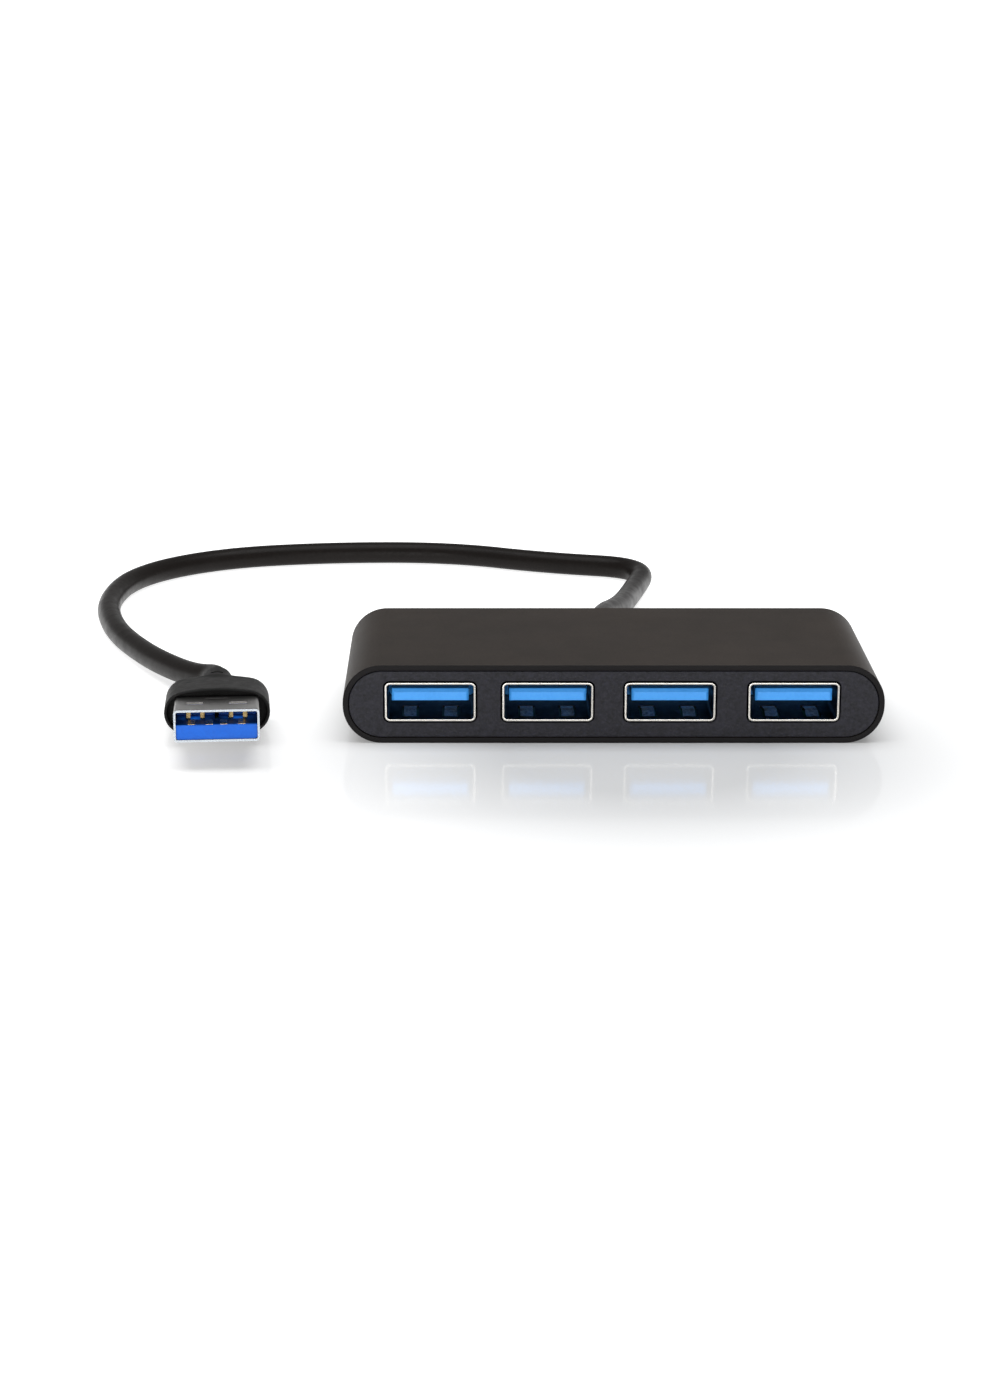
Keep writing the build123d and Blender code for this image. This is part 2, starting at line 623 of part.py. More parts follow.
with BuildPart() as plug_shell:
    with BuildSketch(plug_mouth):
        RectangleRounded(PLUG_WIDTH, PLUG_HEIGHT, 0.55)
        RectangleRounded(
            PLUG_WIDTH - 2 * PLUG_SHEET, PLUG_HEIGHT - 2 * PLUG_SHEET, 0.25, mode=Mode.SUBTRACT
        )
    extrude(amount=-PLUG_SHELL_LENGTH)
    with BuildSketch(behind(plug_mouth, SHELL_HOLE_FRONT)):
        with GridLocations(2 * SHELL_HOLE_X, PLUG_HEIGHT - PLUG_SHEET, 2, 2):
            Rectangle(SHELL_HOLE_WIDTH, 2 * PLUG_SHEET)
    extrude(amount=-SHELL_HOLE_LENGTH, mode=Mode.SUBTRACT)
    # A shallow pressed mark on top, near the moulding.
    top_plane = Plane(
        origin=plug_mouth.from_local_coords((0, PLUG_HEIGHT / 2, 0)),
        x_dir=plug_mouth.x_dir,
        z_dir=plug_mouth.y_dir,
    )
    with BuildSketch(top_plane):
        Polygon((-1.1, 9.4), (1.1, 9.4), (1.8, 11.2), (-1.8, 11.2), align=None)
    extrude(amount=-0.08, mode=Mode.SUBTRACT)
save(plug_shell.part, "plug_shell")

with BuildPart() as plug_front_contacts:
    for x in POWER_CONTACT_X:
        points = [
            (PLUG_PAD_FRONT, PLUG_BLADE_TOP - 0.06),
            (POWER_PAD_ENDS[x], PLUG_BLADE_TOP - 0.06),
            (POWER_PAD_ENDS[x] + 0.4, PLUG_BLADE_TOP - 1.2),
            (PLUG_SHELL_LENGTH + 1.2, PLUG_BLADE_TOP - 1.2),
        ]
        add(contact_strip(plug_mouth, x, points, 1.0))
save(plug_front_contacts.part, "plug_front_contacts")

with BuildPart() as plug_rear_contacts:
    for x in FAST_CONTACT_X:
        points = [
            (5.1, PLUG_BLADE_TOP + 0.16),
            (6.3, PLUG_BLADE_TOP + 0.75),
            (6.9, PLUG_BLADE_TOP + 0.75),
            (8.8, PLUG_BLADE_TOP + 0.12),
            (PLUG_BACK_WALL + 0.6, PLUG_BLADE_TOP + 0.12),
            (PLUG_BACK_WALL + 1.4, PLUG_BLADE_TOP + 0.9),
            (PLUG_SHELL_LENGTH + 1.2, PLUG_BLADE_TOP + 0.9),
        ]
        add(contact_strip(plug_mouth, x, points, 0.6))
save(plug_rear_contacts.part, "plug_rear_contacts")

with BuildPart() as plug_insulator:
    with BuildSketch(beside(plug_mouth, 0)):
        Polygon(
            (PLUG_BLADE_RECESS, -PLUG_INNER_HALF + 0.02),
            (PLUG_BLADE_RECESS, PLUG_BLADE_TOP - 0.12),
            (PLUG_BLADE_RECESS + 0.12, PLUG_BLADE_TOP),
            (PLUG_BACK_WALL, PLUG_BLADE_TOP),
            (PLUG_BACK_WALL, PLUG_INNER_HALF - 0.02),
            (PLUG_SHELL_LENGTH, PLUG_INNER_HALF - 0.02),
            (PLUG_SHELL_LENGTH, -PLUG_INNER_HALF + 0.02),
            align=None,
        )
    extrude(amount=PLUG_WIDTH / 2 - PLUG_SHEET - 0.03, both=True)
    long_edges = plug_insulator.edges().filter_by(Axis(PLUG_TIP, plug_back))
    chamfer(long_edges.group_by(Axis.Z)[0] + long_edges.group_by(Axis.Z)[-1], 0.25)
    add(plug_front_contacts.part, mode=Mode.SUBTRACT)
    add(plug_rear_contacts.part, mode=Mode.SUBTRACT)
save(plug_insulator.part, "plug_insulator")


def overmould_outline(inset):
    """The outline of the moulding's section: a crowned top and bottom that run into round sides."""
    half_height = OVERMOULD_HEIGHT / 2 - inset
    side_radius = OVERMOULD_SIDE_RADIUS - inset
    side_x = OVERMOULD_WIDTH / 2 - OVERMOULD_SIDE_RADIUS
    # The crown's arc has its centre under the middle, and meets each side's arc without a corner.
    crown_radius = (side_x**2 + half_height**2 - side_radius**2) / (
        2 * (half_height - side_radius)
    )
    reach = side_radius / (crown_radius - side_radius)
    join_x = side_x * (1 + reach)
    join_y = (crown_radius - half_height) * reach
    with BuildLine() as outline:
        ThreePointArc((-join_x, join_y), (0, half_height), (join_x, join_y))
        ThreePointArc((join_x, join_y), (side_x + side_radius, 0), (join_x, -join_y))
        ThreePointArc((join_x, -join_y), (0, -half_height), (-join_x, -join_y))
        ThreePointArc((-join_x, -join_y), (-side_x - side_radius, 0), (-join_x, join_y))
    return outline.line


neck_up = plug_mouth.y_dir
neck_back = -plug_mouth.z_dir


def neck_plane(depth, rise, tilt):
    """A plane across the neck, that far behind the plug's tip, tilted to face back and up."""
    facing = neck_back * cos(radians(tilt)) + neck_up * sin(radians(tilt))
    return Plane(
        origin=plug_mouth.from_local_coords((0, rise, -depth)), x_dir=plug_across, z_dir=facing
    )


neck_end = neck_plane(NECK_END, NECK_RISE, NECK_TILT)

with BuildPart() as plug_overmould:
    with BuildSketch(behind(plug_mouth, PLUG_REACH)):
        make_face(overmould_outline(0).edges())
    extrude(amount=-OVERMOULD_LENGTH)
    rear_face = plug_overmould.faces().sort_by(Axis(PLUG_TIP, plug_back))[-1]
    fillet(rear_face.edges(), OVERMOULD_REAR_ROUND)
    with BuildSketch(neck_plane(PLUG_REACH + OVERMOULD_LENGTH - 1.6, 0.8, 0)):
        Circle(2.6)
    with BuildSketch(neck_plane(PLUG_REACH + OVERMOULD_LENGTH + 2.1, 1.35, 1)):
        Circle(2.45)
    with BuildSketch(neck_end):
        Circle(NECK_RADIUS)
    loft()
    # A short slot lies across the top of the neck.
    with BuildSketch(neck_plane(NECK_SLOT_AT, NECK_SLOT_FLOOR + 1, 0)):
        Rectangle(NECK_SLOT_WIDTH, 2)
    extrude(amount=NECK_SLOT_LENGTH, mode=Mode.SUBTRACT)
    with BuildSketch(behind(plug_mouth, PLUG_REACH)):
        make_face(overmould_outline(OVERMOULD_LIP).edges())
    extrude(amount=-OVERMOULD_POCKET, mode=Mode.SUBTRACT)
    # The moulding is cast round the shell and the contacts, so it is hollow where they are.
    with BuildSketch(behind(plug_mouth, PLUG_REACH)):
        RectangleRounded(PLUG_WIDTH, PLUG_HEIGHT, 0.55)
    extrude(amount=-(PLUG_SHELL_LENGTH - PLUG_REACH), mode=Mode.SUBTRACT)
    add(plug_front_contacts.part, mode=Mode.SUBTRACT)
    add(plug_rear_contacts.part, mode=Mode.SUBTRACT)
save(plug_overmould.part, "plug_overmould")

# ---------------------------------------------------------------- cord

cord_start = Vector(0, GLAND_TIP_Y, CORD_EXIT_Z)
cord_points = [cord_start] + [Vector(*p) for p in CORD_ROUTE] + [neck_end.origin]


def corner_radius(before, corner, after):
    """The largest arc that the two runs beside a corner allow."""
    half_turn = radians((corner - before).get_angle(after - corner)) / 2
    shorter = min((corner - before).length, (after - corner).length)
    return 0.45 * shorter / tan(half_turn)


cord_radii = [corner_radius(*cord_points[i : i + 3]) for i in range(len(cord_points) - 2)]
with BuildPart() as cord:
    with BuildLine() as route:
        FilletPolyline(*cord_points, radius=cord_radii)
    with BuildSketch(Plane(origin=route.line @ 0, z_dir=route.line % 0)):
        Circle(CORD_RADIUS)
    sweep()
save(cord.part, "cord")

for corner, radius in zip(cord_points[1:], cord_radii):
    print(f"cord corner at {corner.X:7.1f} {corner.Y:6.1f} {corner.Z:5.2f}: radius {radius:6.1f}")
cord_length = sum(edge.length for edge in route.edges())
print(f"cord length {cord_length:.1f}, tube volume {cord.part.volume:.1f},", end=" ")
print(f"section times length {pi * CORD_RADIUS**2 * cord_length:.1f}")
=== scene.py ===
"""The looks of a flat four-port hub with a short cord and plug, built round its CAD frame.

Pieces are drawn in millimetres in the frame of what they belong to (x across, y back from its
mouth, z up), and are placed in metres in the CAD frame.
"""

import json
import math

import bmesh
import bpy
from mathutils import Matrix, Vector


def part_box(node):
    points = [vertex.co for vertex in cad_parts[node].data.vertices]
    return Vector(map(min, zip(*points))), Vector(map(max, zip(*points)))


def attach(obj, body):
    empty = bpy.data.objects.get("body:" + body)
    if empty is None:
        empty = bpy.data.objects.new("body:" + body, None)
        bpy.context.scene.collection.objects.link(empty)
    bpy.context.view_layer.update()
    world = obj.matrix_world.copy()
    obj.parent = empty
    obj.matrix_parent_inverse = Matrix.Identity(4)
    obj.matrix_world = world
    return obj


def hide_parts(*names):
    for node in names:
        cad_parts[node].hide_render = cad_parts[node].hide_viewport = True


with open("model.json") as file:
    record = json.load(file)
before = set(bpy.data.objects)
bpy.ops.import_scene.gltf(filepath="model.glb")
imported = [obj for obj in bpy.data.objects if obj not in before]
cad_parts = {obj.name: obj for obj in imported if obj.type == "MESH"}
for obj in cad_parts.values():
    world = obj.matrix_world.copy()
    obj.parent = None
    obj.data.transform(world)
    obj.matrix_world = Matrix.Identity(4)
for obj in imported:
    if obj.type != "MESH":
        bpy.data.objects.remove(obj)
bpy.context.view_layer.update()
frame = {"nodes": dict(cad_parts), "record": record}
mounts = {mount["name"]: mount for mount in frame["record"]["mounts"]}

MM = 0.001
TAU = 2 * math.pi


# ---------------------------------------------------------------- materials

NOISE_LOW, NOISE_HIGH = 0.3, 0.7
SPECK_SCALE, SMEAR_SCALE = 1.6, 0.4
COAT_ROUGHNESS = 0.2


def finish_of(
    name,
    colour,
    roughness,
    metallic=0.0,
    specular=0.5,
    spread=0.10,
    patch=0.006,
    tint=(1.0, 1.0, 1.0),
    grain=0.00016,
    grain_depth=0.000004,
    wave=0.004,
    wave_depth=0.0,
    roughness_spread=0.06,
    coat=0.0,
    stretch=(1.0, 1.0, 1.0),
    specular_tint=(1.0, 1.0, 1.0),
):
    """A procedural finish: a mottled colour, fine grain, slow waviness and uneven gloss.

    patch, grain and wave are sizes in metres. spread and tint set how far the colour varies.
    """
    made = bpy.data.materials.new(name)
    made.use_nodes = True
    nodes, links = made.node_tree.nodes, made.node_tree.links
    shader = nodes["Principled BSDF"]
    shader.inputs["Metallic"].default_value = metallic
    shader.inputs["Specular IOR Level"].default_value = specular
    shader.inputs["Specular Tint"].default_value = (*specular_tint, 1.0)
    shader.inputs["Coat Weight"].default_value = coat
    shader.inputs["Coat Roughness"].default_value = COAT_ROUGHNESS
    place = nodes.new("ShaderNodeTexCoord")
    scaled = nodes.new("ShaderNodeMapping")
    scaled.inputs["Scale"].default_value = stretch
    links.new(place.outputs["Object"], scaled.inputs["Vector"])

    def noise(size, detail, rough=0.55):
        made_noise = nodes.new("ShaderNodeTexNoise")
        made_noise.inputs["Scale"].default_value = 1 / size
        made_noise.inputs["Detail"].default_value = detail
        made_noise.inputs["Roughness"].default_value = rough
        links.new(scaled.outputs["Vector"], made_noise.inputs["Vector"])
        return made_noise.outputs["Fac"]

    ramp = nodes.new("ShaderNodeValToRGB")
    ramp.color_ramp.elements[0].position = NOISE_LOW
    ramp.color_ramp.elements[1].position = NOISE_HIGH
    dark = [c * (1 - spread) for c in colour]
    light = [c * (1 + spread) * t for c, t in zip(colour, tint)]
    ramp.color_ramp.elements[0].color = (*dark, 1)
    ramp.color_ramp.elements[1].color = (*light, 1)
    both = nodes.new("ShaderNodeMix")
    both.data_type = "FLOAT"
    both.inputs["Factor"].default_value = 0.5
    links.new(noise(patch, 5.0, 0.65), both.inputs["A"])
    links.new(noise(grain * SPECK_SCALE, 2.0), both.inputs["B"])
    links.new(both.outputs["Result"], ramp.inputs["Fac"])
    links.new(ramp.outputs["Color"], shader.inputs["Base Color"])

    gloss = nodes.new("ShaderNodeMapRange")
    gloss.inputs["From Min"].default_value = NOISE_LOW
    gloss.inputs["From Max"].default_value = NOISE_HIGH
    gloss.inputs["To Min"].default_value = roughness - roughness_spread
    gloss.inputs["To Max"].default_value = roughness + roughness_spread
    links.new(noise(patch * SMEAR_SCALE, 4.0), gloss.inputs["Value"])
    links.new(gloss.outputs["Result"], shader.inputs["Roughness"])

    fine = nodes.new("ShaderNodeBump")
    fine.inputs["Strength"].default_value = 1.0
    fine.inputs["Distance"].default_value = grain_depth
    links.new(noise(grain, 2.0), fine.inputs["Height"])
    if wave_depth:
        slow = nodes.new("ShaderNodeBump")
        slow.inputs["Strength"].default_value = 1.0
        slow.inputs["Distance"].default_value = wave_depth
        links.new(noise(wave, 2.0), slow.inputs["Height"])
        links.new(slow.outputs["Normal"], fine.inputs["Normal"])
    links.new(fine.outputs["Normal"], shader.inputs["Normal"])
    return made


# By material slot of the CAD record, with a few more for single faces.
FINISHES = {
    "sleeve_dark": finish_of(
        "anodised_dark", (0.0275, 0.0220, 0.0185), 0.48, specular=0.13, spread=0.42,
        tint=(1.03, 1.0, 0.97), grain=0.00016, grain_depth=0.000004, patch=0.02,
        specular_tint=(1.0, 0.92, 0.86), roughness_spread=0.012,
    ),
    "plate_dark": finish_of(
        "moulded_slate", (0.0125, 0.0120, 0.0165), 0.48, specular=0.28, spread=0.75,
        tint=(1.0, 1.0, 1.10), grain=0.00032, grain_depth=0.000060, patch=0.0007,
        roughness_spread=0.10,
    ),
    "port_metal": finish_of(
        "tinned_steel", (0.48, 0.46, 0.425), 0.26, metallic=1.0, spread=0.03,
        grain=0.0006, grain_depth=0.0000003, patch=0.003, roughness_spread=0.03,
    ),
    "plug_metal": finish_of(
        "plug_steel", (0.25, 0.27, 0.29), 0.28, metallic=1.0, spread=0.05,
        grain=0.0006, grain_depth=0.0000004, patch=0.003, roughness_spread=0.03,
    ),
    "port_blue": finish_of(
        "signal_blue_moulding", (0.004, 0.122, 0.66), 0.36, specular=0.2, spread=0.07,
        tint=(1.3, 1.08, 1.0), grain=0.00025, grain_depth=0.000003, patch=0.002,
    ),
    # Painted light: a paler copy of the blue moulding, for the tongues, which stand lit in the
    # mouths.
    "port_tongue_blue": finish_of(
        "blue_moulding_painted_light", (0.066, 0.39, 1.0), 0.34, specular=0.35, spread=0.07,
        tint=(1.2, 1.06, 1.0), grain=0.00025, grain_depth=0.000003, patch=0.002,
    ),
    # Painted shade: a dark copy of the sheet metal, for the insides of the shells.
    "shell_inside": finish_of(
        "nickel_painted_shade", (0.030, 0.030, 0.032), 0.36, metallic=1.0, spread=0.12,
        grain=0.0003, grain_depth=0.0000015, patch=0.002,
    ),
    # Painted glints: a bright, mottled copy of the sheet metal, for the springs' faces.
    "spring_painted_glint": finish_of(
        "nickel_painted_glint", (0.78, 0.82, 0.86), 0.40, metallic=1.0, spread=0.55,
        grain=0.00028, grain_depth=0.000010, patch=0.0006,
    ),
    # Painted shade: a darker copy of the anodised finish, for the sleeve's ends.
    "sleeve_end_painted_shade": finish_of(
        "anodised_painted_shade", (0.0110, 0.0100, 0.0105), 0.46, specular=0.10, spread=0.12,
        grain=0.00016, grain_depth=0.000004, patch=0.02, roughness_spread=0.012,
    ),
    "plug_face": finish_of(
        "brushed_plug_steel", (0.17, 0.165, 0.16), 0.32, metallic=1.0, spread=0.03,
        grain=0.00022, grain_depth=0.0000015, patch=0.0025, stretch=(1.0, 0.3, 1.0),
        roughness_spread=0.015,
    ),
    "contact_gold": finish_of(
        "gold_flash", (0.86, 0.62, 0.28), 0.24, metallic=1.0, spread=0.08,
        grain=0.0002, grain_depth=0.000001, patch=0.0015,
    ),
    "board_green": finish_of(
        "solder_mask", (0.012, 0.11, 0.05), 0.32, spread=0.15, patch=0.004, coat=0.3,
    ),
    "chip_black": finish_of("epoxy_black", (0.018, 0.018, 0.019), 0.55, spread=0.2),
    "can_metal": finish_of("can_aluminium", (0.78, 0.78, 0.80), 0.3, metallic=1.0),
    "crystal_metal": finish_of("crystal_lid", (0.72, 0.70, 0.66), 0.28, metallic=1.0),
    "ceramic_tan": finish_of("ceramic_tan_fired", (0.42, 0.29, 0.17), 0.45, spread=0.14),
    "ferrite_grey": finish_of("ferrite_grey_pressed", (0.07, 0.07, 0.075), 0.6, spread=0.2),
    "fuse_green": finish_of("fuse_green_film", (0.03, 0.17, 0.06), 0.5),
    "base_black": finish_of("base_black_moulding", (0.02, 0.02, 0.02), 0.5),
    "solder_grey": finish_of(
        "solder", (0.62, 0.62, 0.63), 0.3, metallic=1.0, wave_depth=0.00002
    ),
    "leg_tin": finish_of("tinned_leg", (0.70, 0.70, 0.70), 0.3, metallic=1.0),
    "cord_black": finish_of(
        "cord_jacket", (0.0100, 0.0082, 0.0074), 0.34, specular=0.09, spread=0.18,
        grain=0.00030, grain_depth=0.000006, patch=0.005, wave=0.0022, wave_depth=0.00002,
    ),
    "gland_black": finish_of(
        "gland_rubber", (0.016, 0.015, 0.0145), 0.52, specular=0.35, spread=0.16,
        grain=0.00022, grain_depth=0.000008, patch=0.003,
    ),
    "overmould_black": finish_of(
        "boot_moulding", (0.0190, 0.0187, 0.0185), 0.52, specular=0.06, spread=0.14,
        grain=0.00020, grain_depth=0.000009, patch=0.003, wave=0.003, wave_depth=0.000004,
    ),
    "lead_red": finish_of("lead_red_jacket", (0.55, 0.02, 0.015), 0.4),
    "lead_black": finish_of("lead_black_jacket", (0.015, 0.015, 0.015), 0.4),
    "lead_white": finish_of("lead_white_jacket", (0.75, 0.74, 0.70), 0.4, spread=0.05),
    "lead_green": finish_of("lead_green_jacket", (0.02, 0.30, 0.06), 0.4),
    "foil_silver": finish_of(
        "foil_wrap", (0.80, 0.80, 0.82), 0.22, metallic=1.0, wave=0.0006, wave_depth=0.00004
    ),
}


# ---------------------------------------------------------------- camera

scene = bpy.context.scene
camera_data = bpy.data.cameras.new("camera")
camera = bpy.data.objects.new("camera", camera_data)
scene.collection.objects.link(camera)
camera.location = (-0.0209, -0.4293, 0.1224)
camera.rotation_euler = (math.radians(74.5), 0.0, 0.0)
camera_data.lens = 77.8
camera_data.sensor_width = 36.0
camera_data.shift_x = 0.0229
camera_data.clip_start = 0.01
camera_data.clip_end = 50.0
scene.camera = camera

# ---------------------------------------------------------------- cord

cord_radius = 0.0019
cord_route = [
    (0.0, 0.0262, 0.0058),
    (0.0, 0.0352, 0.0058),
    (0.0042, 0.0505, 0.0034),
    (0.0073, 0.0680, 0.00195),
    (0.0108, 0.0850, 0.00195),
    (-0.0072, 0.0894, 0.00195),
    (-0.0240, 0.0976, 0.00195),
    (-0.0450, 0.0978, 0.00195),
    (-0.0655, 0.0930, 0.00195),
    (-0.0792, 0.0796, 0.00195),
    (-0.0822, 0.0600, 0.00195),
    (-0.0787, 0.0412, 0.00195),
    (-0.0722, 0.0256, 0.00210),
    (-0.0666, 0.0152, 0.00250),
    (-0.0620, 0.0080, 0.00310),
    (-0.058736, 0.004064, 0.004212),
    (-0.058454, 0.000484, 0.004463),
]
cord_curve = bpy.data.curves.new("hub_cord", "CURVE")
cord_curve.dimensions = "3D"
cord_curve.bevel_depth = cord_radius
cord_curve.bevel_resolution = 10
cord_curve.resolution_u = 14
cord_curve.use_fill_caps = True
cord_line = cord_curve.splines.new("NURBS")
cord_line.points.add(len(cord_route) - 1)
for point, place in zip(cord_line.points, cord_route):
    point.co = (*place, 1.0)
cord_line.order_u = 3
cord_line.use_endpoint_u = True
cord = bpy.data.objects.new("hub_cord", cord_curve)
scene.collection.objects.link(cord)
cord_curve.materials.append(FINISHES["cord_black"])
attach(cord, "root")
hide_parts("cord")

# ---------------------------------------------------------------- building tools

SHARP = math.radians(38)
FLAT_FACE_WEIGHT = 80
SAME_PLACE = 1e-5
# The corners of a rectangle as signs of (x, z), anticlockwise from the low right one.
CORNER_SIGNS = ((1, -1), (1, 1), (-1, 1), (-1, -1))


def hub_frame(x=0.0, y=0.0, z=0.0):
    """Where a piece of the housing or a receptacle sits: its local mm to the CAD frame."""
    return Matrix.Translation(Vector((x, y, z))) @ Matrix.Scale(MM, 4)


def plug_frame():
    """The plug's own frame: x across, y back from the mouth, z up, in mm, at the tip."""
    back = -Vector(mounts["cord_plug"]["axis"]).normalized()
    across = back.cross(Vector((0, 0, 1))).normalized()
    up = across.cross(back)
    turn = Matrix((across, back, up)).transposed().to_4x4()
    return Matrix.Translation(Vector(mounts["cord_plug"]["pos_m"])) @ turn @ Matrix.Scale(MM, 4)


def rounded_rectangle(width, height, radius, steps=8):
    """(x, z) round a rounded rectangle, from the low end of its right side, anticlockwise."""
    points = []
    for corner, (sx, sz) in enumerate(CORNER_SIGNS):
        cx, cz = sx * (width / 2 - radius), sz * (height / 2 - radius)
        start = math.radians(-90 + 90 * corner)
        for i in range(steps + 1):
            a = start + math.radians(90) * i / steps
            points.append((cx + radius * math.cos(a), cz + radius * math.sin(a)))
    return points


def circle(radius, count, centre=(0.0, 0.0)):
    """(x, z) round a circle, anticlockwise from its right."""
    turns = [TAU * i / count for i in range(count)]
    cx, cz = centre
    return [(cx + radius * math.cos(a), cz + radius * math.sin(a)) for a in turns]


def quarter(from_point, to_point, bulge, steps):
    """Points on a quarter turn between two (inset, y) points; bulge is its corner."""
    (ax, ay), (bx, by), (cx, cy) = from_point, to_point, bulge
    ox, oy = ax + bx - cx, ay + by - cy
    points = []
    for i in range(steps + 1):
        c, s = math.cos(math.radians(90) * i / steps), math.sin(math.radians(90) * i / steps)
        points.append((ox + (ax - ox) * c + (bx - ox) * s, oy + (ay - oy) * c + (by - oy) * s))
    return points


def shown(name, mesh, slot, replaced, sharp=SHARP):
    """Turns a mesh into a piece that rides on the hub and stands for its CAD nodes."""
    for polygon in mesh.polygons:
        polygon.use_smooth = True
    mesh.set_sharp_from_angle(angle=sharp)
    piece = bpy.data.objects.new(name, mesh)
    scene.collection.objects.link(piece)
    mesh.materials.append(FINISHES[slot])
    normals = piece.modifiers.new("even_normals", "WEIGHTED_NORMAL")
    normals.keep_sharp = True
    normals.weight = FLAT_FACE_WEIGHT
    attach(piece, "root")
    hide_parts(*replaced)
    return piece


def mesh_from(work, name, matrix):
    """Finishes a bmesh: joins doubles, turns its faces outward and places it."""
    bmesh.ops.remove_doubles(work, verts=work.verts[:], dist=SAME_PLACE)
    bmesh.ops.recalc_face_normals(work, faces=work.faces[:])
    work.transform(matrix)
    mesh = bpy.data.meshes.new(name)
    work.to_mesh(mesh)
    work.free()
    return mesh


def skin(work, loops, ring=False, caps=True):
    """Faces between loops of points. ring joins the last to the first, caps close the ends."""
    rows = [[work.verts.new(p) for p in loop] for loop in loops]
    pairs = list(zip(rows, rows[1:]))
    if ring:
        pairs.append((rows[-1], rows[0]))
    for near, far in pairs:
        count = len(near)
        for i in range(count):
            j = (i + 1) % count
            work.faces.new((near[i], near[j], far[j], far[i]))
    if caps and not ring:
        work.faces.new(rows[0])
        work.faces.new(rows[-1])
    return rows


def soften(piece, width, angle):
    """Rounds the edges of a piece that are sharper than an angle. width is in mm."""
    soft = piece.modifiers.new("soft_edge", "BEVEL")
    soft.width = width * MM
    soft.segments = 2
    soft.limit_method = "ANGLE"
    soft.angle_limit = angle


# ---------------------------------------------------------------- housing

WIDTH, DEPTH, HEIGHT, CORNER = 78.0, 34.4, 11.6, 5.6
MID_Z = HEIGHT / 2
WALL = 0.8
RIM_OUT, RIM_IN = 0.20, 0.10
# How far in from each end the painted shade on the sleeve's rim reaches.
RIM_SHADE_REACH = 0.6 * RIM_OUT
FRONT, REAR = -DEPTH / 2, DEPTH / 2
CORD_Z = 5.8


def housing_loop(inset, y):
    """The outside of the housing, drawn in by inset, at a depth."""
    outline = rounded_rectangle(WIDTH - 2 * inset, HEIGHT - 2 * inset, CORNER - inset, steps=18)
    return [(x, y, MID_Z + z) for x, z in outline]


def rim(y, inward):
    """The (inset, y) path over one end of the sleeve, from its outside to its inside."""
    path = quarter((0, y + inward * RIM_OUT), (RIM_OUT, y), (0, y), steps=5)
    path += quarter((WALL - RIM_IN, y), (WALL, y + inward * RIM_IN), (WALL, y), steps=4)
    return path


sleeve_path = rim(FRONT, 1) + rim(REAR, -1)[::-1]
work = bmesh.new()
skin(work, [housing_loop(inset, y) for inset, y in sleeve_path], ring=True)
sleeve = shown(
    "sleeve_tube", mesh_from(work, "sleeve_tube", hub_frame()), "sleeve_dark", ["housing_sleeve"]
)
# Painted shade: the cut ends take a darker copy of the blasted outside's finish.
sleeve.data.materials.append(FINISHES["sleeve_end_painted_shade"])
for polygon in sleeve.data.polygons:
    if abs(polygon.center.y) > (REAR - RIM_SHADE_REACH) * MM:
        polygon.material_index = 1

PLATE_THICK, PLATE_RECESS = 1.6, 0.1
PLATE_INSET = WALL + 0.08
PLATE_EDGE, HOLE_EDGE, BACK_EDGE = 0.14, 0.10, 0.1
PORT_WIDTH, PORT_HEIGHT, PORT_LENGTH, PORT_SHEET, PORT_CORNER = 13.1, 5.75, 17.5, 0.3, 0.75
WINDOW_GAP, WINDOW_CORNER = 0.2, 0.95
CORD_HOLE = 2.6
PORTS = [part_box(f"port_{number}_shell") for number in (1, 2, 3, 4)]
PORT_X = [(low.x + high.x) / 2 / MM for low, high in PORTS]
PORT_Z = PORTS[0][1].z / MM - PORT_HEIGHT / 2
PORT_FRONT = PORTS[0][0].y / MM


def plate_rim(inset):
    """The outside edge of both end plates."""
    return [(x, z) for x, _, z in housing_loop(PLATE_INSET + inset, 0)]


def end_plate(name, outer_y, inward, holes, node):
    """A flat plate with softened edges. holes are functions of an inset that give outlines."""
    work = bmesh.new()
    caps = {0: [], 1: []}
    inner_y = outer_y + inward * PLATE_THICK
    for outline, edge in [(plate_rim, PLATE_EDGE)] + [(hole, HOLE_EDGE) for hole in holes]:
        path = quarter((edge, outer_y), (0, outer_y + inward * edge), (0, outer_y), steps=4)
        back = inner_y - inward * BACK_EDGE
        path += quarter((0, back), (BACK_EDGE, inner_y), (0, inner_y), steps=2)
        loops = [[(x, y, z) for x, z in outline(inset)] for inset, y in path]
        rows = skin(work, loops, caps=False)
        for end, row in ((0, rows[0]), (1, rows[-1])):
            caps[end] += [work.edges.get((row[i - 1], row[i])) for i in range(len(row))]
    for edges in caps.values():
        bmesh.ops.triangle_fill(work, use_beauty=True, use_dissolve=False, edges=edges)
    return shown(name, mesh_from(work, name, hub_frame()), "plate_dark", [node])


def window(port_x):
    """The opening for one receptacle, as a function of how much larger it is drawn."""

    def outline(inset):
        grow = 2 * (WINDOW_GAP + inset)
        corner = WINDOW_CORNER + inset
        shape = rounded_rectangle(PORT_WIDTH + grow, PORT_HEIGHT + grow, corner, steps=6)
        return [(port_x + x, PORT_Z + z) for x, z in shape]

    return outline


def cord_hole(inset):
    """The opening that the strain relief stands in."""
    return circle(CORD_HOLE + inset, count=40, centre=(0.0, CORD_Z))


end_plate("front_face", FRONT + PLATE_RECESS, 1, [window(x) for x in PORT_X], "front_plate")
end_plate("rear_face", REAR - PLATE_RECESS, -1, [cord_hole], "rear_plate")

# ---------------------------------------------------------------- folded shells

CUT_EDGE = 0.07
FLAT_LIP = 0.9
FOLD_STEPS = 6
SHEET_STEP, LENGTH_STEP = 1.6, 1.4
SHEET_EDGE, SHEET_ANGLE = 0.06, math.radians(50)
MOUTH, INSIDE, SPRING = 1, 2, 3


